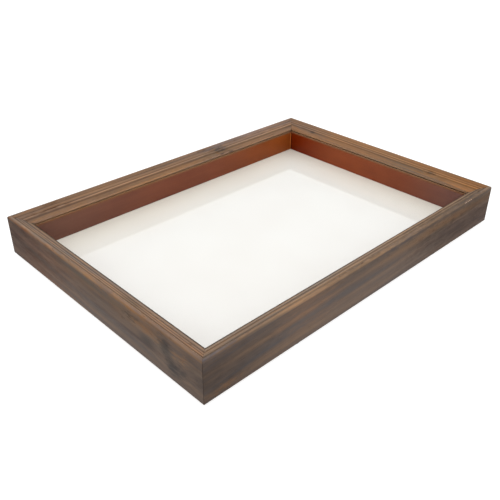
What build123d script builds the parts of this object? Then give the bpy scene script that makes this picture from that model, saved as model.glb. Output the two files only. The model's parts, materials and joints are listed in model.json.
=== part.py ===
from build123d import *
import os

# Butterfly display case: a back-loading shadow box. Four mitred rails carry a pane of glass
# under their moulded lip, four liner strips hold the specimen space open, and a pin board and
# a hardboard back close it from below, held by turn buttons.
# X runs along the long rails and Y along the short ones. The origin is on the surface that
# the case stands on, under its centre. Millimetres.

# ---- Driving sizes ---------------------------------------------------------------------

# Glass: one stock A3 sheet
glass_length = 420.0
glass_width = 297.0
glass_thickness = 2.0
glass_edge_bevel = 0.3
glass_clearance = 0.5       # play between the glass and the rabbet wall, each side

# Rails, seen in section: the wall beside the rabbet, then the moulding from rim to sight edge
wall_thickness = 10.5       # outer face to rabbet wall
foot_arris = 0.4            # broken edge along the underside
rim_round = 2.4             # rounded outer edge of the rim
rim_width = 2.8             # outer face to where the rim falls away
rim_fall_width = 2.7
rim_fall_drop = 2.2
rim_fall_swell = 0.15       # height of the fall's arc over its chord
reed_count = 2
reed_width = 3.75
reed_drop = 1.4             # each reed ends this much lower than it starts
reed_crown = 0.5            # height of a reed's arc over its chord
cove_width = 5.4
cove_drop = 2.8
cove_hollow = 0.6           # depth of the cove's arc under its chord
sight_edge_height = 2.4     # upright face next to the glass
sight_round = 0.5

# Stack under the glass
liner_height = 27.6
liner_setback = 0.8         # liner face behind the sight edge
liner_clearance = 0.2       # liner to rabbet wall
liner_joint_gap = 0.1       # butt joint between a short liner and a long one
liner_arris = 0.4
board_thickness = 3.0
back_thickness = 2.0
back_recess = 0.2           # back panel above the rails' underside
sheet_clearance = 0.4       # pin board and back panel to rabbet wall, each side

# Turn buttons and their screws
button_thickness = 0.8
button_edge_margin = 0.45   # button's round end inside the rail's two faces
button_bite = 14.0          # how far the tongue reaches over the back panel
button_tongue_radius = 3.4
button_edge_bevel = 0.2
button_gap = 0.1            # above and below the button
button_spacing = 220.0      # between the two buttons of a long rail
screw_radius = 1.45
screw_play = 0.05           # running fit of a button on its screw
screw_length = 12.0
screw_point = 1.2
screw_head_radius = 2.8
screw_head_height = 1.2
screw_head_bevel = 0.6

# Rubber bumpers
bumper_radius = 4.0
bumper_foot_radius = 3.4
bumper_bevel = 0.6
bumper_floor_gap = 0.4      # from the screw heads to the surface the case stands on
bumper_inset = 18.0         # bumper axis from the rail's end

# Sawtooth hanger and its nails, in the middle of the rear rail
hanger_length = 45.0
hanger_width = 8.0
hanger_sheet = 0.6
hanger_raise = 1.0          # room for a nail's head behind the toothed bridge
hanger_tab = 7.0
hanger_joggle = 2.0
tooth_pitch = 3.4
tooth_depth = 2.2
tooth_count = 7
nail_radius = 0.75
nail_length = 10.0
nail_head_radius = 1.6
nail_head_height = 0.5

# V-nails that hold the mitres
vnail_inset = 4.0           # from the rails' outer faces to the middle of each leg
vnail_leg = 6.0
vnail_sheet = 0.6
vnail_height = 8.0
vnail_sunk = 0.2            # driven just under the wood

# ---- Worked-out sizes ------------------------------------------------------------------

opening_length = glass_length + 2 * glass_clearance
opening_width = glass_width + 2 * glass_clearance
outer_length = opening_length + 2 * wall_thickness
outer_width = opening_width + 2 * wall_thickness

# Moulding stations, inward from the outer face
reeds_start = rim_width + rim_fall_width
cove_start = reeds_start + reed_count * reed_width
rail_width = cove_start + cove_width

# Heights over the rails' underside
board_base = back_recess + back_thickness
liner_base = board_base + board_thickness
glass_base = liner_base + liner_height
lip_base = glass_base + glass_thickness
cove_foot = lip_base + sight_edge_height
cove_top = cove_foot + cove_drop
reeds_top = cove_top + reed_count * reed_drop
rim_height = reeds_top + rim_fall_drop

# Heights over the surface the case stands on
button_stand = 2 * button_gap + button_thickness    # screw head under the rails' underside
screw_depth = screw_length - button_stand           # screw point in the wood
bumper_height = button_stand + screw_head_height + bumper_floor_gap
underside = bumper_height

liner_thickness = rail_width - liner_setback - wall_thickness - liner_clearance
short_liner_length = opening_width - 2 * (liner_clearance + liner_thickness + liner_joint_gap)
rail_middle = wall_thickness / 2
button_radius = wall_thickness / 2 - button_edge_margin
button_reach = rail_middle + button_bite - button_tongue_radius

# ---- Places ----------------------------------------------------------------------------

# One plane per rail, at the rail's start on its lower outer edge: local x runs inward,
# local y runs up and local z runs along the rail.
front_side = Plane((-outer_length / 2, -outer_width / 2, underside), (0, 1, 0), (1, 0, 0))
right_side = Plane((outer_length / 2, -outer_width / 2, underside), (-1, 0, 0), (0, 1, 0))
rear_side = Plane((outer_length / 2, outer_width / 2, underside), (0, -1, 0), (-1, 0, 0))
left_side = Plane((-outer_length / 2, outer_width / 2, underside), (1, 0, 0), (0, -1, 0))

sides = {
    "front": (front_side, outer_length),
    "right": (right_side, outer_width),
    "rear": (rear_side, outer_length),
    "left": (left_side, outer_width),
}

long_button_stations = (
    (outer_length - button_spacing) / 2,
    (outer_length + button_spacing) / 2,
)
button_stations = {
    "front": long_button_stations,
    "right": (outer_width / 2,),
    "rear": long_button_stations,
    "left": (outer_width / 2,),
}


def facing_down(side, inward, along, drop=0.0):
    """Plane that faces down under a rail, with its local x pointing into the case."""
    place = side.from_local_coords((inward, -drop, along))
    return Plane(place, side.x_dir, (0, 0, -1))


def button_planes(name, drop):
    side = sides[name][0]
    return [facing_down(side, rail_middle, along, drop) for along in button_stations[name]]


def bumper_places():
    places = {}
    for name in ("front", "rear"):
        side, length = sides[name]
        hands = ("left", "right") if name == "front" else ("right", "left")
        for hand, along in zip(hands, (bumper_inset, length - bumper_inset)):
            places[f"{name}_{hand}"] = facing_down(side, rail_middle, along)
    return places


bumpers = bumper_places()
hanger_middle = sides["rear"][1] / 2
hanger_nail_reach = (hanger_length - hanger_tab) / 2
nail_planes = [
    facing_down(rear_side, rail_middle, hanger_middle - hanger_nail_reach, hanger_sheet),
    facing_down(rear_side, rail_middle, hanger_middle + hanger_nail_reach, hanger_sheet),
]

# A V-nail sits at each corner: its plane lies at the nail's lower edge, with its origin where
# the two legs meet, local x along the rail that starts there and local y along its neighbour.
vnail_planes = []
for side, length in sides.values():
    vnail_meet = side.from_local_coords((vnail_inset, vnail_sunk, vnail_inset))
    vnail_planes.append(Plane(vnail_meet, side.z_dir, (0, 0, 1)))


def write(part, name):
    part.label = name
    export_step(part, f"parts/{name}.step")


os.makedirs("parts", exist_ok=True)

# ---- Rails: the moulding, mitred at both ends --------------------------------------------

with BuildSketch() as moulding:
    with BuildLine():
        Line((wall_thickness, 0), (0, 0))
        Line((0, 0), (0, rim_height))
        Line((0, rim_height), (rim_width, rim_height))
        SagittaArc((rim_width, rim_height), (reeds_start, reeds_top), rim_fall_swell)
        for reed in range(reed_count):
            reed_start = reeds_start + reed * reed_width
            reed_top = reeds_top - reed * reed_drop
            reed_end = (reed_start + reed_width, reed_top - reed_drop)
            SagittaArc((reed_start, reed_top), reed_end, reed_crown)
        SagittaArc((cove_start, cove_top), (rail_width, cove_foot), -cove_hollow)
        Line((rail_width, cove_foot), (rail_width, lip_base))
        Line((rail_width, lip_base), (wall_thickness, lip_base))
        Line((wall_thickness, lip_base), (wall_thickness, 0))
    make_face()
    chamfer(moulding.vertices().group_by(Axis.X)[0].sort_by(Axis.Y)[0], length=foot_arris)
    fillet(moulding.vertices().group_by(Axis.X)[0].sort_by(Axis.Y)[-1], radius=rim_round)
    fillet(moulding.vertices().group_by(Axis.X)[-1].sort_by(Axis.Y)[-1], radius=sight_round)

# A V-nail is two thin legs at a right angle, each along one rail of the corner
with BuildSketch() as vnail:
    Rectangle(vnail_leg, vnail_sheet, align=(Align.MIN, Align.CENTER))
    Rectangle(vnail_sheet, vnail_leg, align=(Align.CENTER, Align.MIN))
    Rectangle(vnail_sheet, vnail_sheet)

for name, (side, length) in sides.items():
    mitre_start = Plane(side.origin, z_dir=side.z_dir - side.x_dir)
    mitre_end = Plane(side.from_local_coords((0, 0, length)), z_dir=-side.z_dir - side.x_dir)
    with BuildPart() as rail:
        with BuildSketch(side):
            add(moulding.sketch)
        extrude(amount=length)
        split(bisect_by=mitre_start, keep=Keep.TOP)
        split(bisect_by=mitre_end, keep=Keep.TOP)
        with BuildSketch(*button_planes(name, 0)):
            Circle(screw_radius)
        extrude(amount=-screw_depth, mode=Mode.SUBTRACT)
        with BuildSketch(*vnail_planes):
            add(vnail.sketch)
        extrude(amount=vnail_height, mode=Mode.SUBTRACT)
        with BuildSketch(*[plane.offset(-vnail_sunk) for plane in vnail_planes]):
            add(vnail.sketch)
        extrude(amount=vnail_sunk, mode=Mode.SUBTRACT)
        if name == "rear":
            with BuildSketch(*nail_planes):
                Circle(nail_radius)
            extrude(amount=-nail_length, mode=Mode.SUBTRACT)
    write(rail.part, f"{name}_rail")

with BuildPart() as corner_nails:
    with BuildSketch(*vnail_planes):
        add(vnail.sketch)
    extrude(amount=vnail_height)
write(corner_nails.part, "corner_v_nails")

# ---- Glass, liners, pin board and back ---------------------------------------------------

with BuildPart() as glass:
    with BuildSketch(Plane.XY.offset(underside + glass_base)):
        Rectangle(glass_length, glass_width)
    extrude(amount=glass_thickness)
    chamfer(glass.edges(), length=glass_edge_bevel)
write(glass.part, "glass_pane")

liner_lengths = {
    "front": opening_length - 2 * liner_clearance,
    "rear": opening_length - 2 * liner_clearance,
    "right": short_liner_length,
    "left": short_liner_length,
}
for name, (side, length) in sides.items():
    with BuildPart() as liner:
        with BuildSketch(side.offset((length - liner_lengths[name]) / 2)):
            with Locations((wall_thickness + liner_clearance, liner_base)):
                Rectangle(liner_thickness, liner_height, align=(Align.MIN, Align.MIN))
        extrude(amount=liner_lengths[name])
        chamfer(liner.edges().filter_by(Axis(side.origin, side.z_dir)), length=liner_arris)
    write(liner.part, f"{name}_liner")

with BuildPart() as board:
    with BuildSketch(Plane.XY.offset(underside + board_base)):
        Rectangle(opening_length - 2 * sheet_clearance, opening_width - 2 * sheet_clearance)
    extrude(amount=board_thickness)
write(board.part, "pin_board")

with BuildPart() as back:
    with BuildSketch(Plane.XY.offset(underside + back_recess)):
        Rectangle(opening_length - 2 * sheet_clearance, opening_width - 2 * sheet_clearance)
    extrude(amount=back_thickness)
write(back.part, "back_panel")

# ---- Turn buttons and their screws ---------------------------------------------------------

for name in sides:
    planes = button_planes(name, button_gap)
    marks = ("",) if len(planes) == 1 else ("_a", "_b")
    for plane, mark in zip(planes, marks):
        with BuildPart() as button:
            with BuildSketch(plane):
                Circle(button_radius)
                with Locations((button_reach, 0)):
                    Circle(button_tongue_radius)
                make_hull()
                Circle(screw_radius + screw_play, mode=Mode.SUBTRACT)
            extrude(amount=button_thickness)
            lower_face = button.faces().sort_by(Axis.Z)[0]
            chamfer(lower_face.outer_wire().edges(), length=button_edge_bevel)
        write(button.part, f"turn_button_{name}{mark}")

head_planes = []
for name in sides:
    head_planes += button_planes(name, button_stand)
with BuildPart() as screws:
    with BuildSketch(*head_planes):
        Circle(screw_head_radius)
    extrude(amount=screw_head_height)
    chamfer(screws.edges().group_by(Axis.Z)[0], length=screw_head_bevel)
    with BuildSketch(*head_planes):
        Circle(screw_radius)
    extrude(amount=-screw_length)
    chamfer(screws.edges().group_by(Axis.Z)[-1], length=screw_point)
write(screws.part, "button_screws")

# ---- Bumpers -------------------------------------------------------------------------------

for place, plane in bumpers.items():
    section = Plane(plane.origin, plane.x_dir, plane.y_dir)
    with BuildPart() as bumper:
        with BuildSketch(section):
            Polygon(
                (0, 0),
                (bumper_radius, 0),
                (bumper_foot_radius, bumper_bevel - bumper_height),
                (bumper_foot_radius - bumper_bevel, -bumper_height),
                (0, -bumper_height),
            )
        revolve(axis=Axis(plane.origin, plane.z_dir))
    write(bumper.part, f"bumper_{place}")

# ---- Sawtooth hanger: joggled strip, toothed along the side that hangs on the nail -----------

half_hanger = hanger_length / 2
bridge_end = half_hanger - hanger_tab - hanger_joggle
tab_start = half_hanger - hanger_tab
hanger_start = (wall_thickness - hanger_width) / 2
strip_origin = rear_side.from_local_coords((hanger_start, 0, hanger_middle))
strip_plane = Plane(strip_origin, rear_side.z_dir, rear_side.x_dir)
teeth_plane = facing_down(rear_side, hanger_start + hanger_width, hanger_middle)

with BuildPart() as hanger:
    with BuildSketch(strip_plane):
        Polygon(
            (0, hanger_raise),
            (bridge_end, hanger_raise),
            (tab_start, 0),
            (half_hanger, 0),
            (half_hanger, hanger_sheet),
            (tab_start, hanger_sheet),
            (bridge_end, hanger_raise + hanger_sheet),
            (0, hanger_raise + hanger_sheet),
        )
        mirror(about=Plane.YZ)
    extrude(amount=hanger_width)
    with BuildSketch(teeth_plane):
        with GridLocations(0, tooth_pitch, 1, tooth_count):
            Polygon((0, -tooth_pitch / 2), (0, tooth_pitch / 2), (-tooth_depth, 0))
    extrude(amount=hanger_raise + hanger_sheet, mode=Mode.SUBTRACT)
    with BuildSketch(*nail_planes):
        Circle(nail_radius)
    extrude(amount=-hanger_sheet, mode=Mode.SUBTRACT)
write(hanger.part, "sawtooth_hanger")

with BuildPart() as hanger_nails:
    with BuildSketch(*nail_planes):
        Circle(nail_head_radius)
    extrude(amount=nail_head_height)
    with BuildSketch(*nail_planes):
        Circle(nail_radius)
    extrude(amount=-nail_length)
write(hanger_nails.part, "hanger_nails")
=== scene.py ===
# %% [markdown]
# # A butterfly display case
# The real thing is a shallow shadow box: four moulded rails, mitred at the corners, hold a
# pane of glass over an empty specimen space with red-brown sides and a glossy white floor.
# The sizes are already settled in a solid model, so this lesson is about finish. We load the
# solids, note the box that they fill, and dress them one by one.

# %% Load the solids
import json
import math

import bpy
from mathutils import Euler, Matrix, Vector

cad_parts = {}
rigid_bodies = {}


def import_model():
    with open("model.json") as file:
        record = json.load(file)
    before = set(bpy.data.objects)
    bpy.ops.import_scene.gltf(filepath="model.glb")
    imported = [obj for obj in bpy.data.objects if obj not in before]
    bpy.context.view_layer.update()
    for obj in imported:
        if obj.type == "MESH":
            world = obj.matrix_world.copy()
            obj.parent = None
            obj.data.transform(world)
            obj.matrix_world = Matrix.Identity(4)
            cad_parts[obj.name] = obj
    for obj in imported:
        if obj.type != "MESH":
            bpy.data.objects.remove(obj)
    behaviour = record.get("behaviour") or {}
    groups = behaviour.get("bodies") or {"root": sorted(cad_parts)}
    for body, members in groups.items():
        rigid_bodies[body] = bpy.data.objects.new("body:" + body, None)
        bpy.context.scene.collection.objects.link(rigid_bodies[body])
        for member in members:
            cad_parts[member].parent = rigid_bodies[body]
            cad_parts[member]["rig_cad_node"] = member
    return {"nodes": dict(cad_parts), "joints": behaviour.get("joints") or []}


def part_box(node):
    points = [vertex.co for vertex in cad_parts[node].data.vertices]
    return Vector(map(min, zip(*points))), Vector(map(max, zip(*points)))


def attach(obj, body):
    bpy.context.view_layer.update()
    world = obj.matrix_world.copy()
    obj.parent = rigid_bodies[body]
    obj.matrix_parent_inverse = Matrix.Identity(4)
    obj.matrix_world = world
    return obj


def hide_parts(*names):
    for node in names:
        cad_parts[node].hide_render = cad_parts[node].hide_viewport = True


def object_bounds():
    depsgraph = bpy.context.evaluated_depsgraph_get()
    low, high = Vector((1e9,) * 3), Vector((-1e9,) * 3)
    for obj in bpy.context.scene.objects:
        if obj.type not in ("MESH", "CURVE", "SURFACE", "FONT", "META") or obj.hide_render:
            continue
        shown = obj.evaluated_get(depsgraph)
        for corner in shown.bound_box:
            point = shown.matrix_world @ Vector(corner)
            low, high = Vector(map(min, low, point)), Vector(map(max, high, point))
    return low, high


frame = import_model()
solids = frame["nodes"]
solid_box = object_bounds()
print("box in millimetres:", [[round(1000 * v, 2) for v in corner] for corner in solid_box])

# %% [markdown]
# ## Camera
# A flat case is best seen from a tripod, about two thirds of a metre away, looking down over
# the near corner. We could turn the camera by three angles, but a place, a point to look at
# and a small roll are easier to read. The lens is a little longer than normal, so the far
# corner isn't much smaller than the near one.

# %% Camera
CAMERA_PLACE = Vector((-0.45291, -0.44965, 0.37424))
CAMERA_AIM = Vector((-0.05619, -0.04111, 0.025))
CAMERA_ROLL = math.radians(0.328)
CAMERA_LENS = 46.28

camera_data = bpy.data.cameras.new("camera")
camera_data.lens = CAMERA_LENS
camera = bpy.data.objects.new("camera", camera_data)
bpy.context.scene.collection.objects.link(camera)
line_of_sight = CAMERA_AIM - CAMERA_PLACE
level_turn = line_of_sight.to_track_quat("-Z", "Y")
camera.rotation_mode = "QUATERNION"
camera.rotation_quaternion = level_turn @ Euler((0, 0, CAMERA_ROLL)).to_quaternion()
camera.location = CAMERA_PLACE
bpy.context.scene.camera = camera
print("camera to aim:", round(line_of_sight.length, 3), "m")

# %% [markdown]
# ## Materials by nodes
# Every finish below is a small graph of nodes. Typing each link by hand hides the idea, so
# one helper adds a node and fills its inputs: a number or colour sets the input, and a
# socket of another node is linked to it. The short helpers after it name the few kinds of
# node that come up all the time.

# %% Helpers for node graphs
def put(tree, kind, inputs=None, **settings):
    """Add a node. Values in inputs are set, and sockets in inputs are linked."""
    made = tree.nodes.new("ShaderNode" + kind)
    for setting, value in settings.items():
        setattr(made, setting, value)
    for name, value in (inputs or {}).items():
        if isinstance(value, bpy.types.NodeSocket):
            tree.links.new(value, made.inputs[name])
        else:
            made.inputs[name].default_value = value
    return made


def maths(tree, operation, first, second=0.0):
    return put(tree, "Math", {0: first, 1: second}, operation=operation).outputs[0]


def blend(tree, share, first, second, mode="MIX"):
    """Mix two colours: share 0 gives the first and share 1 the second."""
    inputs = {0: share, 6: first, 7: second}
    return put(tree, "Mix", inputs, data_type="RGBA", blend_type=mode).outputs[2]


def spread(tree, value, low, high, out_low=0.0, out_high=1.0):
    """Stretch low..high to out_low..out_high, with soft ends."""
    inputs = {"Value": value, 1: low, 2: high, 3: out_low, 4: out_high}
    return put(tree, "MapRange", inputs, interpolation_type="SMOOTHSTEP").outputs[0]


def vector_maths(tree, operation, first, second):
    return put(tree, "VectorMath", {0: first, 1: second}, operation=operation).outputs[0]


def scaled(tree, where, scale):
    return vector_maths(tree, "MULTIPLY", where, scale)


def length(tree, vector):
    return put(tree, "VectorMath", {0: vector}, operation="LENGTH").outputs["Value"]


def split(tree, where):
    """The three parts of a place: x, y and z."""
    return put(tree, "SeparateXYZ", {0: where}).outputs


def noise(tree, where, scale=1.0, detail=2.0, roughness=0.5):
    inputs = {"Vector": where, "Scale": scale, "Detail": detail, "Roughness": roughness}
    return put(tree, "TexNoise", inputs).outputs["Fac"]


def ramp(tree, share, stops):
    """A colour for each share, given as (share, colour) stops."""
    made = put(tree, "ValToRGB", {"Fac": share})
    stripe = made.color_ramp
    while len(stripe.elements) < len(stops):
        stripe.elements.new(0.5)
    for element, (place, colour) in zip(stripe.elements, stops):
        element.position = place
        element.color = (*colour, 1)
    return made.outputs[0]


def tinted(tree, share, colour, tint):
    """Multiply a colour by a tint, as far as the share says."""
    return blend(tree, share, colour, (*tint, 1), "MULTIPLY")


def with_relief(tree, shader, relief, strength, depth):
    """Let a noise raise and sink the surface, by a depth in metres."""
    bump = put(tree, "Bump", {"Height": relief, "Strength": strength, "Distance": depth})
    tree.links.new(bump.outputs[0], shader.inputs["Normal"])


def new_finish(name):
    """A new material, with its graph and its main shader."""
    finish = bpy.data.materials.new(name)
    finish.use_nodes = True
    return finish, finish.node_tree, finish.node_tree.nodes["Principled BSDF"]


print("node helpers ready")

# %% [markdown]
# ## Floor and light
# The case lies on a plain sweep under a very soft light. A bright even world gives the pale
# surroundings that the satin wood and the glossy floor board mirror. One large lamp
# overhead, on the camera's side, adds the slight lift on faces that look up and inwards. On
# a white sweep the case would cast a broad grey shadow. This sweep is mid grey, and glows
# until it looks white: a shadow then only dims its grey share, and is hardly seen.

# %% Floor and light
FLOOR_SIZE = 12.0
FLOOR_COLOUR = (0.38, 0.38, 0.38, 1)
FLOOR_GLOW = 0.75
FLOOR_ROUGHNESS = 0.7
FLOOR_GLOSS = 0.1
WORLD_STRENGTH = 1.08
KEY_PLACE = Vector((-0.5, -0.5, 1.5))
KEY_SIZE = 1.3
KEY_POWER = 10.0


def deselect():
    bpy.ops.object.select_all(action="DESELECT")


deselect()
bpy.ops.mesh.primitive_plane_add(size=FLOOR_SIZE, location=(0, 0, 0))
floor = bpy.context.object
floor.name = "floor"
floor_paint, tree, shader = new_finish("floor_paint")
shader.inputs["Base Color"].default_value = FLOOR_COLOUR
shader.inputs["Roughness"].default_value = FLOOR_ROUGHNESS
shader.inputs["Specular IOR Level"].default_value = FLOOR_GLOSS
shader.inputs["Emission Color"].default_value = (1, 1, 1, 1)
shader.inputs["Emission Strength"].default_value = FLOOR_GLOW
floor.data.materials.append(floor_paint)

studio = bpy.data.worlds.new("studio")
studio.use_nodes = True
studio.node_tree.nodes["Background"].inputs["Color"].default_value = (1, 1, 1, 1)
studio.node_tree.nodes["Background"].inputs["Strength"].default_value = WORLD_STRENGTH
bpy.context.scene.world = studio

key_data = bpy.data.lights.new("key", "AREA")
key_data.shape = "SQUARE"
key_data.size = KEY_SIZE
key_data.energy = KEY_POWER
key = bpy.data.objects.new("key", key_data)
bpy.context.scene.collection.objects.link(key)
key.location = KEY_PLACE
key.rotation_mode = "QUATERNION"
key.rotation_quaternion = (-KEY_PLACE).to_track_quat("-Z", "Y")
bpy.context.scene.view_settings.view_transform = "Standard"
print("key lamp", round(KEY_PLACE.length, 2), "m away")

# %% [markdown]
# ## Where a rail's wood is
# Four rails are cut from the same moulding, so their wood is one recipe seen from four
# sides. A Mapping node turns Object coordinates into the rail's own: x along it, y from its
# outer face into the case, z up from its underside. Everything after that can be said once
# for all rails, in metres on the moulding.

# %% Rail coordinates
HALF_LENGTH = solid_box[1][0]
HALF_WIDTH = solid_box[1][1]
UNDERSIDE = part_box("front_rail")[0].z
RIM_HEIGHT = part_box("front_rail")[1].z - UNDERSIDE
RAIL_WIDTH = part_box("front_rail")[1].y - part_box("front_rail")[0].y

# Each rail: its turn in degrees, half its length, and from the middle to its outer face
RAILS = {
    "front": (0, HALF_LENGTH, HALF_WIDTH),
    "left": (90, HALF_WIDTH, HALF_LENGTH),
    "rear": (180, HALF_LENGTH, HALF_WIDTH),
    "right": (-90, HALF_WIDTH, HALF_LENGTH),
}


def rail_coordinates(tree, side):
    turn, _, to_outer_face = RAILS[side]
    inputs = {
        "Vector": put(tree, "TexCoord").outputs["Object"],
        "Rotation": (0, 0, math.radians(turn)),
        "Location": (0, to_outer_face, -UNDERSIDE),
    }
    return put(tree, "Mapping", inputs).outputs[0]


print("rail:", round(1000 * RIM_HEIGHT, 1), "mm high,", round(1000 * RAIL_WIDTH, 1), "mm wide")

# %% [markdown]
# ## Grain
# Grain lines are where growth rings come to the surface of the board. A repeating wave would
# look printed. It is closer to the tree to work out how far each point is from the heart,
# bend that distance with slow noise, and read a stretched noise at it: the same rings then
# show on the wall, over the rim and across the moulding, as in a real stick of wood. A knot
# or curl is a place where the rings bulge round something, so it adds to the distance.

# %% Grain
WANDER_STRETCH = (7, 16, 16)


def soft_spot(tree, where, centre, reach):
    """1 at the centre, falling softly to 0 at the edge of an egg of that reach."""
    offset = vector_maths(tree, "SUBTRACT", where, centre)
    away = length(tree, scaled(tree, offset, [1 / r for r in reach]))
    return spread(tree, away, 1.0, 0.0)


def ring_distance(tree, where, heart, lean, wander, curls):
    """Distance from the heart of the tree, with its slope, wander and curls, in metres."""
    from_heart = vector_maths(tree, "SUBTRACT", where, heart)
    distance = length(tree, scaled(tree, from_heart, (0, 1, 1)))
    slope = maths(tree, "MULTIPLY", split(tree, where)[0], lean)
    distance = maths(tree, "ADD", distance, slope)
    slow = noise(tree, scaled(tree, where, WANDER_STRETCH))
    slow = maths(tree, "MULTIPLY", maths(tree, "SUBTRACT", slow, 0.5), wander)
    distance = maths(tree, "ADD", distance, slow)
    for centre, reach, push in curls:
        bulge = maths(tree, "MULTIPLY", soft_spot(tree, where, centre, reach), push)
        distance = maths(tree, "ADD", distance, bulge)
    return distance


def grain_noise(tree, where, distance, along_scale, across_scale, detail, roughness):
    """Noise drawn out along the rail, and fine across its rings."""
    along = maths(tree, "MULTIPLY", split(tree, where)[0], along_scale)
    across = maths(tree, "MULTIPLY", distance, across_scale)
    stretched = put(tree, "CombineXYZ", {0: along, 1: across}).outputs[0]
    return noise(tree, stretched, detail=detail, roughness=roughness)


print("grain helpers ready")

# %% [markdown]
# ## Walls and moulding
# A cloth reaches the moulding but hardly the walls, so the stain is wiped lighter on top and
# left full on the sides. The finish has to know which is which. A mask painted by hand would
# have to be painted again for each rail. Here it is worked out from the place on the rail:
# the top is what lies over the rim's shoulder, or past the rim and above the moulding's foot.

# %% Walls and moulding
MOULDING_FOOT = 0.034
SHOULDER_START = 0.0030
SHOULDER_END = 0.0006
RIM_START = 0.0010
RIM_END = 0.0028


def top_share(tree, inward, height):
    """1 on the moulding and 0 on the walls, with a soft change over the rim."""
    over_rim = spread(tree, height, RIM_HEIGHT - SHOULDER_START, RIM_HEIGHT - SHOULDER_END)
    past_rim = spread(tree, inward, RIM_START, RIM_END)
    above = maths(tree, "GREATER_THAN", height, MOULDING_FOOT)
    return maths(tree, "MAXIMUM", over_rim, maths(tree, "MULTIPLY", past_rim, above))


print("the moulding starts", round(1000 * MOULDING_FOOT), "mm up")

# %% [markdown]
# ## Stain on the grain
# The rails are a light brown hardwood under a dark, slightly grey stain. The stain sits
# unevenly: cool grey in the wide soft bands, browner where the wood is hard. Three noises
# read the same rings at three widths: bands, fibres, and thin lines that only the wiped
# moulding shows. Their sum picks the stain from a ramp of three tones. One noise would do
# for a painted wood, but real grain is coarse and fine at once.

# %% Stain on the grain
COOL_STAIN = (0.0765, 0.0605, 0.0535)
BROWN_STAIN = (0.1005, 0.0665, 0.0475)
LIGHT_STAIN = (0.1300, 0.0810, 0.0510)
STAIN_STOPS = [(0.32, COOL_STAIN), (0.52, BROWN_STAIN), (0.74, LIGHT_STAIN)]
SLATE_TINT = (0.88, 0.97, 1.06)
SLATE_STRETCH = (6, 90, 90)
# Each reading of the rings: scale along the rail, scale across the rings, detail, roughness
BANDS = (4, 120, 2.5, 0.5)
FIBRES = (22, 850, 3.0, 0.6)
THIN_LINES = (6, 520, 2.0, 0.6)
WALL_FIBRES = 0.20
TOP_FIBRES = 0.45
TOP_LINES = 0.70
WIPED_TONE = 0.06


def stained_grain(tree, where, distance, on_top):
    """The stain's colour, with the bands and fibres that gloss and relief follow."""
    bands = grain_noise(tree, where, distance, *BANDS)
    fibres = grain_noise(tree, where, distance, *FIBRES)
    lines = grain_noise(tree, where, distance, *THIN_LINES)
    fine = maths(tree, "MULTIPLY_ADD", on_top, TOP_FIBRES)
    fine.node.inputs[2].default_value = WALL_FIBRES
    fine = maths(tree, "MULTIPLY", maths(tree, "SUBTRACT", fibres, 0.5), fine)
    lines = maths(tree, "MULTIPLY", maths(tree, "SUBTRACT", lines, 0.5), TOP_LINES)
    lines = maths(tree, "MULTIPLY", maths(tree, "ADD", lines, WIPED_TONE), on_top)
    tone = maths(tree, "ADD", maths(tree, "ADD", bands, fine), lines)
    colour = ramp(tree, tone, STAIN_STOPS)
    slate = spread(tree, noise(tree, scaled(tree, where, SLATE_STRETCH)), 0.48, 0.72)
    return tinted(tree, slate, colour, SLATE_TINT), bands, fibres


print("stain tones:", len(STAIN_STOPS))

# %% [markdown]
# ## Strokes, clouds and marks
# Three things change the colour from place to place. A stroke runs the whole length of the
# moulding: stain left in a valley, or rubbed off a crest, and with it painted shade in the
# valley and a painted highlight on the crest. A cloud is a wide place where the board drank
# more or less, or a wide painted sheen on the rim, so noise pushes it about and frays its edge.
# A mark is small and keeps its shape: a knot, a line of figure, a scuff; the liners use marks
# for painted light and shade as well. All three only multiply the colour, so the grain still
# shows through them. Painting them on a picture would show them too, but a picture has to be
# made and stretched again for each rail.

# %% Strokes, clouds and marks
FRAY_STRETCH = (30, 150, 150)
DRIFT_STRETCH = (20, 60, 60)
CLOUD_DRIFT = (0.060, 0, 0.030)


def with_strokes(tree, colour, strokes, inward, on_top):
    """Strokes are (distance inward, half width, tint)."""
    for place, reach, tint in strokes:
        beside = maths(tree, "ABSOLUTE", maths(tree, "SUBTRACT", inward, place))
        share = maths(tree, "MULTIPLY", spread(tree, beside, reach, 0.0), on_top)
        colour = tinted(tree, share, colour, tint)
    return colour


def drifted(tree, where):
    """The place, pushed about by slow noise."""
    drift = put(tree, "TexNoise", {"Vector": scaled(tree, where, DRIFT_STRETCH), "Detail": 3.0})
    drift = vector_maths(tree, "SUBTRACT", drift.outputs["Color"], (0.5, 0.5, 0.5))
    return vector_maths(tree, "ADD", where, scaled(tree, drift, CLOUD_DRIFT))


def with_clouds(tree, colour, clouds, where):
    """Clouds are (centre, reach, tint), each an egg with a frayed edge."""
    fray = noise(tree, scaled(tree, where, FRAY_STRETCH), detail=3.0, roughness=0.6)
    fray = spread(tree, fray, 0.35, 0.65, 0.6, 1.0)
    place = drifted(tree, where)
    for centre, reach, tint in clouds:
        share = maths(tree, "MULTIPLY", soft_spot(tree, place, centre, reach), fray)
        colour = tinted(tree, share, colour, tint)
    return colour


def with_marks(tree, colour, marks, where):
    """Marks are (centre, reach, tint) too, and stay where they are put."""
    for centre, reach, tint in marks:
        colour = tinted(tree, soft_spot(tree, where, centre, reach), colour, tint)
    return colour


print("a stroke, a cloud and a mark each multiply the stain")
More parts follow.
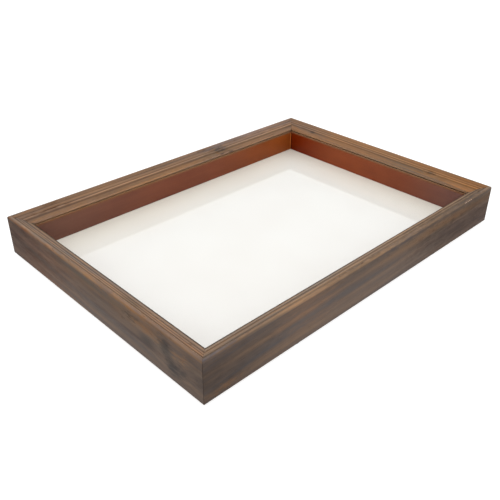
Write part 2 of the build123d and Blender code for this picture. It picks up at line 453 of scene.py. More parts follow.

# %% [markdown]
# ## A rail's whole finish
# The rest is the same on every rail: open pores, a thin dark glue line at each mitre, an
# upright face next to the glass with painted light lifting its shade, and an underside that
# was never stained. A satin coat covers all of it, duller in the pores. One function puts the
# layers on in the order of the workshop. What differs from rail to rail (the slope of the
# grain, its curls, how far the moulding was wiped, its strokes, clouds and marks) comes in as
# arguments.

# %% A rail's whole finish
PORES = (70, 2600, 1.0, 0.5)
PORE_TINT = (0.55, 0.50, 0.48)
PORE_DEPTH = 0.6
# Painted light: the upright face next to the glass is lifted out of its shade
SIGHT_FACE_PAINTED_LIGHT = (1.7, 1.7, 1.7)
SIGHT_FACE_START = RAIL_WIDTH - 0.00006
SIGHT_FACE_END = RAIL_WIDTH - 0.00002
GLUE_TINT = (0.50, 0.46, 0.44)
GLUE_REACH = 0.0006
GLUE_CORE = 0.0001
BARE_UNDERSIDE_TINT = (1.9, 1.7, 1.5)
BARE_START = 0.0006
BARE_FULL = 0.0001
COAT_GLOSS = 0.06
RAIL_RELIEF = 0.00008


def glue_share(tree, side, along, inward, on_top):
    """1 at the rail's two mitres, less on the moulding, which was wiped."""
    half_length = RAILS[side][1]
    to_end = maths(tree, "SUBTRACT", half_length, maths(tree, "ABSOLUTE", along))
    to_mitre = maths(tree, "SUBTRACT", to_end, inward)
    glue = spread(tree, to_mitre, GLUE_REACH, GLUE_CORE)
    return maths(tree, "MULTIPLY", glue, spread(tree, on_top, 0.0, 1.0, 1.0, 0.3))


def rail_wood(side, heart, lean, wander, wiped, strokes, curls, clouds, marks=()):
    finish, tree, shader = new_finish(side + "_rail_wood")
    where = rail_coordinates(tree, side)
    along, inward, height = split(tree, where)
    distance = ring_distance(tree, where, heart, lean, wander, curls)
    on_top = top_share(tree, inward, height)

    colour, bands, fibres = stained_grain(tree, where, distance, on_top)
    colour = tinted(tree, on_top, colour, wiped)
    colour = with_strokes(tree, colour, strokes, inward, on_top)
    # Painted light: the upright face next to the glass is lifted out of its shade
    sight_face = spread(tree, inward, SIGHT_FACE_START, SIGHT_FACE_END)
    colour = tinted(tree, sight_face, colour, SIGHT_FACE_PAINTED_LIGHT)
    colour = with_clouds(tree, colour, clouds, where)
    colour = with_marks(tree, colour, marks, where)

    pores = spread(tree, grain_noise(tree, where, distance, *PORES), 0.64, 0.74)
    colour = tinted(tree, maths(tree, "MULTIPLY", pores, PORE_DEPTH), colour, PORE_TINT)
    glue = glue_share(tree, side, along, inward, on_top)
    colour = tinted(tree, glue, colour, GLUE_TINT)
    underneath = spread(tree, height, BARE_START, BARE_FULL)
    colour = tinted(tree, underneath, colour, BARE_UNDERSIDE_TINT)
    tree.links.new(colour, shader.inputs["Base Color"])

    satin = spread(tree, bands, 0.35, 0.7, 0.54, 0.44)
    satin = maths(tree, "ADD", satin, maths(tree, "MULTIPLY", pores, 0.2))
    satin = maths(tree, "ADD", satin, maths(tree, "MULTIPLY", underneath, 0.25))
    tree.links.new(satin, shader.inputs["Roughness"])
    shader.inputs["Specular IOR Level"].default_value = COAT_GLOSS
    relief = maths(tree, "SUBTRACT", maths(tree, "MULTIPLY", fibres, 0.5), pores)
    with_relief(tree, shader, relief, 0.25, RAIL_RELIEF)
    return finish


print("a rail takes: grain, wiped tint, strokes, curls, clouds, marks")

# %% [markdown]
# ## Front rail's wood
# Each rail gets its own figure, as four sticks never match. The numbers below are places on
# the rail in metres: along it, inward, and up. A tint of 1 leaves a channel of the colour
# alone, less makes it darker and more makes it lighter. The front rail runs from a cool dark
# corner, where the board drank most, to a browner right end. The wall is darker just under
# the rim, the band below it has aged olive, and near the right end something hard has left a
# row of small scuffs on the rim. Grey and lilac sheen is painted on the rim, and a painted
# highlight and shade line run along the inner edge.

# %% Front rail's wood
SOAKED_COOL = (0.44, 0.46, 0.51)
BROWN_STREAK = (0.50, 0.38, 0.28)
BROWN_END = (0.54, 0.38, 0.24)
BROWN_FOOT = (1.00, 0.86, 0.68)
OLIVE = (1.22, 0.94, 0.52)
ORANGE = (1.42, 1.12, 0.80)
LIGHT_PATCH = (1.46, 1.28, 1.12)
MAUVE = (1.16, 1.20, 1.26)
MAUVE_SHADE = (0.72, 0.85, 1.15)
# Painted sheen on the rim: grey and lilac reflections of the pale surroundings
LILAC_RIM_SHEEN = (1.02, 1.06, 1.30)
DULL_LILAC_SHEEN = (0.76, 0.82, 1.04)
GREY_RIM_SHEEN = (0.68, 0.80, 1.05)
DULL_LINE = (0.66, 0.66, 0.66)
DULL_END = (0.42, 0.43, 0.42)
UNDER_RIM = (0.52, 0.46, 0.38)
SCUFF = (4.40, 4.80, 5.60)
SCUFF_REACH = (0.0014, 0.0020, 0.0007)
SCUFF_HEIGHT = 0.0437
SCUFFED = (0.1626, 0.1650, 0.1684, 0.1718, 0.1750)
# Painted light and shade on the near rails: a highlight on the cove and a shade line at the
# inner edge
NEAR_SIGHT_LIGHT_AND_SHADE = [(0.0153, 0.0014, (1.50, 1.50, 1.52)), (0.0184, 0.0026, (0.14, 0.16, 0.18))]

woods = {}
woods["front"] = rail_wood(
    "front",
    heart=(0, 0.012, -0.045),
    lean=-0.02,
    wander=0.004,
    wiped=(1.99, 1.94, 1.73),
    # Strokes: stain left in the valleys and rubbed off the crests, with painted shade in the
    # valleys, painted highlights on the crests, and painted light and shade by the glass
    strokes=[
        (0.0044, 0.0022, (0.42, 0.38, 0.33)),
        (0.0074, 0.0010, (1.15, 1.15, 1.15)),
        (0.0107, 0.0012, (0.46, 0.44, 0.44)),
        *NEAR_SIGHT_LIGHT_AND_SHADE,
    ],
    curls=[],
    clouds=[
        ((-0.237, 0, 0.020), (0.132, 0.012, 0.060), SOAKED_COOL),
        ((0.190, 0, 0.012), (0.200, 0.012, 0.036), BROWN_STREAK),
        ((-0.040, 0, 0.008), (0.200, 0.006, 0.024), MAUVE),
        ((0.190, 0, 0.010), (0.130, 0.003, 0.040), BROWN_END),
        ((0.110, 0, 0.0225), (0.085, 0.006, 0.016), BROWN_STREAK),
        ((-0.098, 0, 0.030), (0.060, 0.006, 0.024), LIGHT_PATCH),
        ((-0.200, 0, 0.006), (0.030, 0.006, 0.003), ORANGE),
        # Painted sheen: grey and lilac on the rim by the near corner
        ((-0.221, 0.001, 0.045), (0.070, 0.004, 0.005), GREY_RIM_SHEEN),
        ((-0.215, 0.0018, 0.050), (0.090, 0.0030, 0.024), LILAC_RIM_SHEEN),
        ((-0.020, 0.003, 0.044), (0.110, 0.006, 0.008), DULL_LINE),
        ((0.045, 0.001, 0.045), (0.055, 0.003, 0.008), MAUVE_SHADE),
        ((-0.180, 0.004, 0.044), (0.060, 0.004, 0.008), DULL_LINE),
        ((0.140, 0.006, 0.044), (0.170, 0.020, 0.010), DULL_END),
        # Painted sheen: a dull lilac on the rim towards the right end
        ((0.130, 0.0022, 0.050), (0.150, 0.0034, 0.024), DULL_LILAC_SHEEN),
    ],
    marks=[
        ((-0.190, 0, 0.0450), (0.110, 0.0016, 0.0028), UNDER_RIM),
        ((0.150, 0, 0.0340), (0.190, 0.0012, 0.0110), OLIVE),
        ((0.221, 0, 0.0140), (0.120, 0.0012, 0.0340), BROWN_FOOT),
        *[((along, 0, SCUFF_HEIGHT), SCUFF_REACH, SCUFF) for along in SCUFFED],
    ],
)
print("front rail's wood:", woods["front"].name)

# %% [markdown]
# ## Left rail's wood
# The left rail has the liveliest figure: three long dark lines that wander down its wall,
# and a swirl of curled grain by the near corner, where a branch left the tree. The rings
# could be bent until such lines came by chance, but it is quicker to say where each line
# runs: overlapping thin marks on a few points read as one soft line.

# %% Left rail's wood
DARK_BROWN = (0.30, 0.14, 0.02)
BROWN_WASH = (0.97, 0.66, 0.46)
WARM = (1.10, 0.94, 0.70)
PALE = (1.30, 1.17, 1.03)
LIGHT_RIM = (1.62, 1.52, 1.38)
OLIVE_END = (0.88, 0.82, 0.66)
ORANGE_FLECK = (1.24, 1.04, 0.80)
REDDER_TOP = (1.08, 0.94, 0.86)
SWIRL = (0.42, 0.48, 0.56)
SOFT_SWIRL = (0.54, 0.60, 0.68)
FIGURE_TINT = (0.69, 0.70, 0.76)
FIGURE_REACH = (0.034, 0.0014, 0.0045)
# Each line of the figure, as points (along, up) on the wall
FIGURE_LINES = [
    [(-0.130, 0.037), (-0.094, 0.033), (-0.048, 0.027), (-0.010, 0.023)],
    [(0.020, 0.0195), (0.058, 0.0180), (0.086, 0.0180)],
    [(-0.055, 0.037), (-0.019, 0.034), (0.011, 0.0315), (0.038, 0.0315)],
]
figure = [
    ((along, 0, height), FIGURE_REACH, FIGURE_TINT)
    for line in FIGURE_LINES
    for along, height in line
]

woods["left"] = rail_wood(
    "left",
    heart=(0, 0.010, -0.030),
    lean=0.04,
    wander=0.007,
    wiped=(1.94, 1.86, 1.68),
    # Strokes: stain left in the valleys and rubbed off the crests, with painted shade in the
    # valleys, painted highlights on the crests, and painted light and shade by the glass
    strokes=[
        (0.0055, 0.0011, (0.42, 0.40, 0.40)),
        (0.0071, 0.0007, (1.18, 1.18, 1.18)),
        (0.0086, 0.0009, (0.40, 0.38, 0.38)),
        (0.0100, 0.0007, (1.22, 1.22, 1.22)),
        (0.0115, 0.0012, (0.46, 0.44, 0.44)),
        *NEAR_SIGHT_LIGHT_AND_SHADE,
    ],
    curls=[((0.118, 0, 0.022), (0.030, 0.02, 0.028), 0.004)],
    clouds=[
        ((-0.175, 0, 0.028), (0.150, 0.003, 0.060), DARK_BROWN),
        ((-0.110, 0, 0.022), (0.120, 0.003, 0.060), BROWN_WASH),
        ((-0.125, 0.002, 0.045), (0.110, 0.004, 0.010), LIGHT_RIM),
        ((0.032, 0.001, 0.045), (0.035, 0.003, 0.008), MAUVE_SHADE),
        ((0.182, 0, 0.022), (0.066, 0.012, 0.060), SOAKED_COOL),
        ((0, 0, 0.006), (0.240, 0.006, 0.016), MAUVE),
        ((0, 0, 0.038), (0.200, 0.006, 0.016), WARM),
        ((0.112, 0, 0.034), (0.014, 0.008, 0.012), SWIRL),
        ((0.128, 0, 0.014), (0.016, 0.008, 0.014), SWIRL),
        ((0.062, 0, 0.035), (0.016, 0.008, 0.007), SWIRL),
        ((0.085, 0, 0.036), (0.045, 0.008, 0.010), ORANGE_FLECK),
        ((0.132, 0, 0.029), (0.012, 0.008, 0.008), ORANGE),
        # Painted sheen: a dull lilac on the rim towards the near corner
        ((0.110, 0.0018, 0.050), (0.130, 0.0030, 0.024), DULL_LILAC_SHEEN),
        ((0.140, 0.0080, 0.046), (0.120, 0.0060, 0.016), REDDER_TOP),
        ((-0.035, 0.0085, 0.042), (0.100, 0.010, 0.010), PALE),
    ],
    marks=[
        ((0.100, 0, 0.0450), (0.150, 0.0016, 0.0030), UNDER_RIM),
        ((-0.150, 0, 0.0340), (0.070, 0.0012, 0.0120), OLIVE_END),
        ((0.058, 0.0085, 0.0415), (0.032, 0.0060, 0.0160), SOFT_SWIRL),
        ((0.113, 0, 0.030), (0.011, 0.0014, 0.015), SOFT_SWIRL),
        ((0.120, 0, 0.015), (0.012, 0.0014, 0.016), SOFT_SWIRL),
        ((0.086, 0, 0.022), (0.018, 0.0014, 0.009), SOFT_SWIRL),
        *figure,
    ],
)
print("left rail's wood:", woods["left"].name, "with", len(figure), "points of figure")

# %% [markdown]
# ## Rear rail's wood
# The rear rail is wiped warm next to the glass and keeps a mauve rim. Between its middle and
# the far corner lies a small dark knot: the rings bulge round it, slate clouds are its core,
# and a brown halo softens it into the board. In a knot the wood turns end-on and drinks
# more stain, which is why its core is darker and cooler than all around it.

# %% Rear rail's wood
MAUVE_TOP = (1.40, 1.52, 1.84)
WARM_FOOT = (0.96, 0.86, 0.68)
SLATE_KNOT = (0.26, 0.34, 0.50)
KNOT_HALO = (0.60, 0.54, 0.48)

woods["rear"] = rail_wood(
    "rear",
    heart=(0, 0.010, -0.040),
    lean=0.01,
    wander=0.005,
    wiped=(1.75, 1.61, 1.44),
    # Strokes: stain left in the valleys and rubbed off the crests, with painted shade in the
    # valleys and painted highlights on the crests and by the glass
    strokes=[
        (0.0062, 0.0012, (0.60, 0.58, 0.58)),
        (0.0084, 0.0010, (1.10, 1.10, 1.12)),
        (0.0103, 0.0011, (0.52, 0.50, 0.50)),
        (0.0119, 0.0011, (1.46, 1.46, 1.46)),
        (0.0136, 0.0013, (0.64, 0.62, 0.62)),
        (0.0176, 0.0010, (1.16, 1.14, 1.12)),
    ],
    curls=[((-0.073, 0.012, 0.042), (0.014, 0.006, 0.02), 0.006)],
    clouds=[
        ((-0.150, 0.003, 0.044), (0.200, 0.013, 0.010), MAUVE_TOP),
        ((0.040, 0.0170, 0.039), (0.300, 0.0055, 0.010), WARM_FOOT),
        ((-0.073, 0.0112, 0.041), (0.008, 0.0040, 0.008), SLATE_KNOT),
        ((-0.074, 0.0180, 0.038), (0.010, 0.0030, 0.005), SLATE_KNOT),
        ((-0.064, 0.0115, 0.041), (0.026, 0.008, 0.008), KNOT_HALO),
        ((-0.063, 0.0150, 0.040), (0.008, 0.0030, 0.006), ORANGE),
        ((-0.046, 0.0040, 0.044), (0.014, 0.004, 0.008), KNOT_HALO),
        ((0.170, 0.0045, 0.043), (0.018, 0.003, 0.008), KNOT_HALO),
        ((0.172, 0.0105, 0.041), (0.045, 0.004, 0.008), BROWN_STREAK),
        ((0.200, 0.0020, 0.044), (0.035, 0.003, 0.008), ORANGE),
    ],
)
print("rear rail's wood:", woods["rear"].name)

# %% [markdown]
# ## Right rail's wood
# The right rail is wiped the most, so it is the most orange, and it cools towards the far
# corner. It has two small knots in its moulding. The first curls the rings round it. The
# second is only a dark spot, so a mark is enough.

# %% Right rail's wood
COOLER_END = (0.88, 1.06, 1.44)
WARMER_END = (1.02, 0.86, 0.62)
SMALL_KNOT = (0.46, 0.52, 0.62)

woods["right"] = rail_wood(
    "right",
    heart=(0, 0.012, -0.035),
    lean=-0.02,
    wander=0.005,
    wiped=(2.10, 1.74, 1.30),
    # Strokes: stain left in the valleys and rubbed off the crests, with painted shade in the
    # valleys, painted highlights on the crests, and a painted highlight and shade by the glass
    strokes=[
        (0.0062, 0.0012, (0.56, 0.54, 0.52)),
        (0.0078, 0.0010, (1.15, 1.15, 1.15)),
        (0.0093, 0.0011, (0.56, 0.54, 0.54)),
        (0.0107, 0.0010, (1.30, 1.30, 1.30)),
        (0.0124, 0.0012, (0.60, 0.58, 0.58)),
        (0.0158, 0.0016, (1.12, 1.02, 0.92)),
        (0.0182, 0.0009, (0.80, 0.80, 0.82)),
    ],
    curls=[((-0.085, 0.012, 0.042), (0.014, 0.006, 0.02), 0.006)],
    clouds=[
        ((0.165, 0.010, 0.042), (0.120, 0.020, 0.010), COOLER_END),
        ((-0.084, 0.0125, 0.041), (0.009, 0.007, 0.008), KNOT_HALO),
        ((-0.130, 0.0080, 0.044), (0.120, 0.020, 0.012), WARMER_END),
    ],
    marks=[((0.106, 0.0130, 0.0400), (0.0065, 0.0024, 0.0080), SMALL_KNOT)],
)
print("rail woods:", [finish.name for finish in woods.values()])

# %% [markdown]
# ## Copy, ease and dress
# The solids have true sections, but their edges are perfectly sharp, and those of no sanded
# or stamped piece are. We work on a merged copy of a solid: flat faces are dissolved back
# to single polygons, and a Bevel modifier eases every real corner by a hair. Modelling a
# section again by hand would only risk a different size. Dressing a piece also hangs it on
# the body that carries it and hides the solid that it stands for.

# %% Copy, ease and dress
MERGE_WITHIN = 0.000002
FLAT_WITHIN = math.radians(0.5)


def active(piece):
    """Select a piece alone, ready for an operator."""
    deselect()
    piece.select_set(True)
    bpy.context.view_layer.objects.active = piece


def working_copy(solid_name, piece_name):
    """A merged copy of a solid, free to be eased and dressed."""
    active(solids[solid_name])
    bpy.ops.object.duplicate()
    piece = bpy.context.object
    piece.name = piece_name
    piece.data.name = piece_name
    del piece["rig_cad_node"]
    bpy.ops.object.mode_set(mode="EDIT")
    bpy.ops.mesh.select_all(action="SELECT")
    bpy.ops.mesh.remove_doubles(threshold=MERGE_WITHIN)
    bpy.ops.mesh.dissolve_limited(angle_limit=FLAT_WITHIN)
    bpy.ops.object.mode_set(mode="OBJECT")
    return piece


def ease_edges(piece, width, segments=2, sharper_than=32):
    """Round every corner sharper than the angle, then shade across the small faces."""
    active(piece)
    bevel = piece.modifiers.new("eased", "BEVEL")
    bevel.width = width
    bevel.segments = segments
    bevel.limit_method = "ANGLE"
    bevel.angle_limit = math.radians(sharper_than)
    bevel.use_clamp_overlap = True
    bpy.ops.object.modifier_apply(modifier="eased")
    bpy.ops.object.shade_smooth_by_angle(angle=math.radians(sharper_than))


def dress(piece, finish, body, replaced=None):
    """Give a piece its finish and the body it moves with, and hide the solid that it stands for.
    """
    piece.data.materials.clear()
    piece.data.materials.append(finish)
    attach(piece, body)
    if replaced:
        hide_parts(replaced)


def refinish(solid_name, finish):
    """Give a solid that is shown as it is a better material."""
    for slot in solids[solid_name].material_slots:
        slot.material = finish


print("solids to copy or refinish:", len(solids))

# %% [markdown]
# ## Rails
# The four rails are mitred and glued. Easing them by a hair leaves the fine V that one sees
# between two glued rails, and a soft glint along the rim. A wider bevel would eat the
# moulding's thin lines.

# %% Rails
EASED_WOOD = 0.00018
for side, wood in woods.items():
    rail = working_copy(side + "_rail", side + "_rail_wood")
    ease_edges(rail, EASED_WOOD)
    dress(rail, wood, "case", side + "_rail")
    print(rail.name, "faces:", len(rail.data.polygons))

# %% [markdown]
# ## Liner wood
# The four strips that hold the glass up off the floor are thin boards, stained a smooth red
# brown. They are close-grained, so there is no strong figure: what shows is a slight cloudy
# mottle and a few long faint streaks. Soft clouds of tint make one strip redder and paint
# light and shade on them: a warm glow and a deeper red shade towards one corner, and a pale
# grey reflection towards the ends. Under the lip the top band is painted a paler olive brown
# and the very edge a pale tan line, painted light over the shade there. It is worked out from
# the height alone, as it is the same all round.

# %% Liner wood
LINER_DEEP = (0.153, 0.0465, 0.0265)
LINER_LIGHT = (0.198, 0.0605, 0.0315)
LINER_STOPS = [(0.30, LINER_DEEP), (0.70, LINER_LIGHT)]
MOTTLE_STRETCH = (25, 60, 60)
MOTTLE_SHARE = 0.6
STREAK_STRETCH = (9, 300, 300)
# Painted light under the lip: a paler olive band at the top and a pale tan top edge
TOP_BAND_LIGHT = (0.200, 0.086, 0.040, 1)
TOP_BAND_FROM = 0.0030
TOP_BAND_FULL = 0.0012
TOP_EDGE_LIGHT = (0.37, 0.205, 0.112, 1)
TOP_EDGE_FROM = 0.00045
TOP_EDGE_ALL = 0.00030
LINER_GLOSS = 0.10
LINER_RELIEF = 0.00005
LINER_TURNS = {"front": 0, "rear": 0, "left": 90, "right": 90}
LINER_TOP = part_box("rear_liner")[1].z


def liner_wood(side, clouds):
    finish, tree, shader = new_finish(side + "_liner_wood")
    turn = math.radians(LINER_TURNS[side])
    in_case = put(tree, "TexCoord").outputs["Object"]
    where = put(tree, "Mapping", {"Vector": in_case, "Rotation": (0, 0, turn)}).outputs[0]
    mottle = noise(tree, scaled(tree, where, MOTTLE_STRETCH), detail=4.0, roughness=0.6)
    streaks = noise(tree, scaled(tree, where, STREAK_STRETCH), detail=3.0, roughness=0.6)
    mottle_part = maths(tree, "MULTIPLY", mottle, MOTTLE_SHARE)
    streak_part = maths(tree, "MULTIPLY", streaks, 1 - MOTTLE_SHARE)
    colour = ramp(tree, maths(tree, "ADD", mottle_part, streak_part), LINER_STOPS)
    colour = with_marks(tree, colour, clouds, in_case)

    height = split(tree, in_case)[2]
    # Painted light: the top band and the top edge are lifted out of the shade under the lip
    near_top = spread(tree, height, LINER_TOP - TOP_BAND_FROM, LINER_TOP - TOP_BAND_FULL)
    colour = blend(tree, near_top, colour, TOP_BAND_LIGHT)
    top_edge = spread(tree, height, LINER_TOP - TOP_EDGE_FROM, LINER_TOP - TOP_EDGE_ALL)
    colour = blend(tree, top_edge, colour, TOP_EDGE_LIGHT)
    tree.links.new(colour, shader.inputs["Base Color"])
    tree.links.new(spread(tree, mottle, 0.3, 0.7, 0.42, 0.50), shader.inputs["Roughness"])
    shader.inputs["Specular IOR Level"].default_value = LINER_GLOSS
    with_relief(tree, shader, streaks, 0.12, LINER_RELIEF)
    return finish


print("liner top:", round(1000 * LINER_TOP, 1), "mm up")

# %% [markdown]
# ## Four liners
# The long liners run from end to end and the short ones butt against them, so each corner
# has a dark joint line, and a glint is painted on the end of the long liner beside it. The two
# near liners face away from the usual view and stay plain.

# %% Four liners
# Painted light and shade: a warm glow and a deeper red shade at the far corner, a pale
# reflection towards the ends, and a glint on the end of the long liner
PAINTED_CORNER_GLOW = (1.50, 1.14, 0.35)
PAINTED_CORNER_SHADE = (0.72, 0.28, 0.0)
PAINTED_END_REFLECTION = (0.88, 1.36, 1.80)
PAINTED_END_REFLECTION_STRONG = (0.92, 1.50, 2.30)
REDDER = (1.36, 1.00, 0.60)
JOINT_SHADE = (0.22, 0.25, 0.30)
JOINT_GLINT = (2.60, 3.20, 4.20)
EASED_LINER = 0.00012
# Places here are in the case, not along a rail, as one cloud may lie over a whole corner
liner_clouds = {
    "front": [],
    "left": [],
    "rear": [
        ((0.20, 0.14, 0.02), (0.18, 0.14, 0.2), PAINTED_CORNER_GLOW),
        ((0.2024, 0.142, 0.022), (0.0014, 0.01, 0.03), JOINT_GLINT),
        ((-0.22, 0.14, 0.02), (0.24, 0.10, 0.2), PAINTED_END_REFLECTION),
    ],
    "right": [
        ((0.20, 0.07, 0.02), (0.10, 0.20, 0.2), REDDER),
        ((0.20, 0.14, 0.02), (0.10, 0.085, 0.2), PAINTED_CORNER_SHADE),
        ((0.2036, 0.1420, 0.022), (0.01, 0.0026, 0.06), JOINT_SHADE),
        ((0.20, -0.15, 0.02), (0.10, 0.110, 0.2), PAINTED_END_REFLECTION_STRONG),
    ],
}

for side in RAILS:
    liner = working_copy(side + "_liner", side + "_liner_strip")
    ease_edges(liner, EASED_LINER)
    dress(liner, liner_wood(side, liner_clouds[side]), "case", side + "_liner")
    print(liner.name, "faces:", len(liner.data.polygons))

# %% [markdown]
# ## Pin board
# The floor of the case is a white board with a glossy skin: it mirrors the liners in a pale
# band along the far sides. A perfectly even white looks like plastic in a render, so the
# white drifts a little in tone and its gloss drifts in roughness. Next to the far liners a
# warm tint is painted, for the light that they throw back onto the board. The mirrored band
# itself isn't painted: it moves with the eye, as it should.

# %% Pin board
LINER_INNER_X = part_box("right_liner")[0].x
LINER_INNER_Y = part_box("rear_liner")[0].y
# Painted bounce light: the board is tinted warm next to the far liners
LINER_BOUNCE_REACH = 0.075
LINER_BOUNCE_TINT = (1.04, 1.015, 0.94)
BOARD_WHITE = (0.745, 0.730, 0.708)
BOARD_CREAM = (0.730, 0.710, 0.686)
BOARD_STOPS = [(0.35, BOARD_CREAM), (0.65, BOARD_WHITE)]
BOARD_DRIFT = 14.0
BOARD_PEEL = 260.0
BOARD_IOR = 1.5

white_gloss, tree, shader = new_finish("white_gloss")
where = put(tree, "TexCoord").outputs["Object"]
colour = ramp(tree, noise(tree, where, scale=BOARD_DRIFT), BOARD_STOPS)
across_x, across_y, _ = split(tree, where)
# Painted warm bounce light, strongest next to the rear and right liners
by_rear = spread(tree, across_y, LINER_INNER_Y - LINER_BOUNCE_REACH, LINER_INNER_Y)
by_right = spread(tree, across_x, LINER_INNER_X - LINER_BOUNCE_REACH, LINER_INNER_X)
liner_bounce = maths(tree, "MAXIMUM", by_rear, by_right)
colour = tinted(tree, liner_bounce, colour, LINER_BOUNCE_TINT)
tree.links.new(colour, shader.inputs["Base Color"])
orange_peel = noise(tree, where, scale=BOARD_PEEL)
tree.links.new(spread(tree, orange_peel, 0.3, 0.7, 0.005, 0.014), shader.inputs["Roughness"])
shader.inputs["IOR"].default_value = BOARD_IOR
refinish("pin_board", white_gloss)

# %% [markdown]
# ## Glass
# The pane has a coating against reflections, so from most sides it hardly shows. Full glass
# with refraction would dim everything under it and cast a shadow of its own. A clear shader
# with some mirror on it lets the light through. The mirror share follows the angle to the
# surface, as on coated glass: nothing from above, where the coating holds, and more and more
# at a low angle. A trace of mirror from above would only speckle the dark liners.

# %% Glass
COATING_HOLDS = 0.66
MIRROR_GRAZING = 0.30
GLASS_TINT = (0.995, 0.998, 0.996, 1)

clear_glass, tree, shader = new_finish("clear_glass")
tree.nodes.remove(shader)
facing = put(tree, "LayerWeight", {"Blend": 0.5}).outputs["Facing"]
mirror = spread(tree, facing, COATING_HOLDS, 1.0, 0.0, MIRROR_GRAZING)
clear = put(tree, "BsdfTransparent", {"Color": GLASS_TINT})
gloss = put(tree, "BsdfGlossy", {"Roughness": 0.0})
pane = put(tree, "MixShader", {0: mirror, 1: clear.outputs[0], 2: gloss.outputs[0]})
tree.links.new(pane.outputs[0], tree.nodes["Material Output"].inputs["Surface"])
refinish("glass_pane", clear_glass)

# %% [markdown]
# ## Hardboard back
# From below one mostly sees the back panel: brown hardboard, hot-pressed from wood fibres,
# smooth and slightly waxy on this side. What makes it hardboard and not plain brown paint is
# its speckle: short dark and pale fibres that lie in every direction, over a slow change of
# tone. Three stretched noises at different turns give the fibres. One round noise would
# look like sandstone.

# %% Hardboard
HARDBOARD_DARK = (0.088, 0.046, 0.026)
HARDBOARD_PALE = (0.128, 0.070, 0.040)
FIBRE_PALE = (0.200, 0.122, 0.072, 1)
FIBRE_DARK = (0.052, 0.028, 0.017, 1)
FIBRE_LAYERS = ((35, FIBRE_PALE), (-50, FIBRE_DARK), (80, FIBRE_PALE))
FIBRE_STRETCH = (620, 4200, 2200)
FIBRE_SHARE = 0.45
FIBRE_RISE = 0.3
HARDBOARD_GLOSS = 0.35
HARDBOARD_RELIEF = 0.0001

hardboard, tree, shader = new_finish("hardboard")
where = put(tree, "TexCoord").outputs["Object"]
slow = noise(tree, where, scale=9.0, detail=4.0)
colour = ramp(tree, slow, [(0.35, HARDBOARD_DARK), (0.65, HARDBOARD_PALE)])
relief = slow
for degrees, fibre_colour in FIBRE_LAYERS:
    turned = put(tree, "Mapping", {"Vector": where, "Rotation": (0, 0, math.radians(degrees))})
    fibres = noise(tree, scaled(tree, turned.outputs[0], FIBRE_STRETCH))
    fibres = spread(tree, fibres, 0.56, 0.72)
    colour = blend(tree, maths(tree, "MULTIPLY", fibres, FIBRE_SHARE), colour, fibre_colour)
    relief = maths(tree, "ADD", relief, maths(tree, "MULTIPLY", fibres, FIBRE_RISE))
tree.links.new(colour, shader.inputs["Base Color"])
tree.links.new(spread(tree, relief, 0.3, 0.9, 0.55, 0.40), shader.inputs["Roughness"])
shader.inputs["Specular IOR Level"].default_value = HARDBOARD_GLOSS
with_relief(tree, shader, relief, 0.2, HARDBOARD_RELIEF)
refinish("back_panel", hardboard)

# %% [markdown]
# ## Metals
# Four kinds of metal hold the back on: zinc-plated buttons, plated screws, plain steel nails
# and a brass-washed hanger. They differ in colour and in how they were worked, but not in
# kind, so one recipe serves all: metal with a cloudy roughness, fine scratches, and a dull
# bloom in places. The scratches are a noise that is drawn out far in one direction.

# %% Metals
BLOOM_SCALE = 240.0
SCRATCH_STRETCH = (500, 9000, 9000)
SCRATCH_DULLS = 0.12
SCRATCH_DEPTH = 0.00002


def plated_metal(name, bright, dull, smooth, rough):
    finish, tree, shader = new_finish(name)
    where = put(tree, "TexCoord").outputs["Object"]
    bloom = noise(tree, where, scale=BLOOM_SCALE, roughness=0.4)
    scratches = noise(tree, scaled(tree, where, SCRATCH_STRETCH))
    worn = spread(tree, bloom, 0.30, 0.75)
    tree.links.new(ramp(tree, worn, [(0.0, bright), (1.0, dull)]), shader.inputs["Base Color"])
    dulled = maths(tree, "MULTIPLY", scratches, SCRATCH_DULLS)
    gloss = maths(tree, "ADD", spread(tree, bloom, 0.35, 0.7, smooth, rough), dulled)
    tree.links.new(gloss, shader.inputs["Roughness"])
    shader.inputs["Metallic"].default_value = 1.0
    with_relief(tree, shader, scratches, 0.15, SCRATCH_DEPTH)
    return finish


zinc = plated_metal("zinc_steel", (0.66, 0.68, 0.70), (0.52, 0.54, 0.56), 0.24, 0.38)
screw_zinc = plated_metal("screw_steel", (0.70, 0.70, 0.69), (0.58, 0.57, 0.54), 0.18, 0.30)
hanger_brass = plated_metal("hanger_brass", (0.74, 0.57, 0.27), (0.62, 0.46, 0.21), 0.22, 0.36)
nail_steel = plated_metal("nail_steel", (0.58, 0.58, 0.58), (0.40, 0.39, 0.38), 0.26, 0.44)
print("metals: zinc, screw zinc, brass, nail steel")

# %% [markdown]
# ## Shaping small hardware
# The small parts are modelled as by hand: a cylinder or block is added, some of its points
# are picked by their place and moved or bevelled, and solids are joined or cut. Each of
# those steps comes up several times, so each is a helper. One pattern is made of each kind,
# round the Z axis, and its copies are moved from there to their places.

# %% Helpers for small hardware
NEAR = 0.0001


def settle(piece):
    """Put the object's origin at the world's, with its place kept in its mesh."""
    active(piece)
    bpy.ops.object.transform_apply(location=True, rotation=True, scale=True)


def cylinder(vertices, radius, low, high):
    """A cylinder on the Z axis between two heights."""
    deselect()
    bpy.ops.mesh.primitive_cylinder_add(
        vertices=vertices, radius=radius, depth=high - low, location=(0, 0, (low + high) / 2)
    )
    piece = bpy.context.object
    settle(piece)
    return piece


def select_where(piece, chosen):
    """In edit mode, select only the vertices whose place passes the test."""
    bpy.ops.object.mode_set(mode="EDIT")
    bpy.ops.mesh.select_mode(type="VERT")
    bpy.ops.mesh.select_all(action="DESELECT")
    bpy.ops.object.mode_set(mode="OBJECT")
    for vertex in piece.data.vertices:
        vertex.select = chosen(piece.matrix_world @ vertex.co)
    bpy.ops.object.mode_set(mode="EDIT")


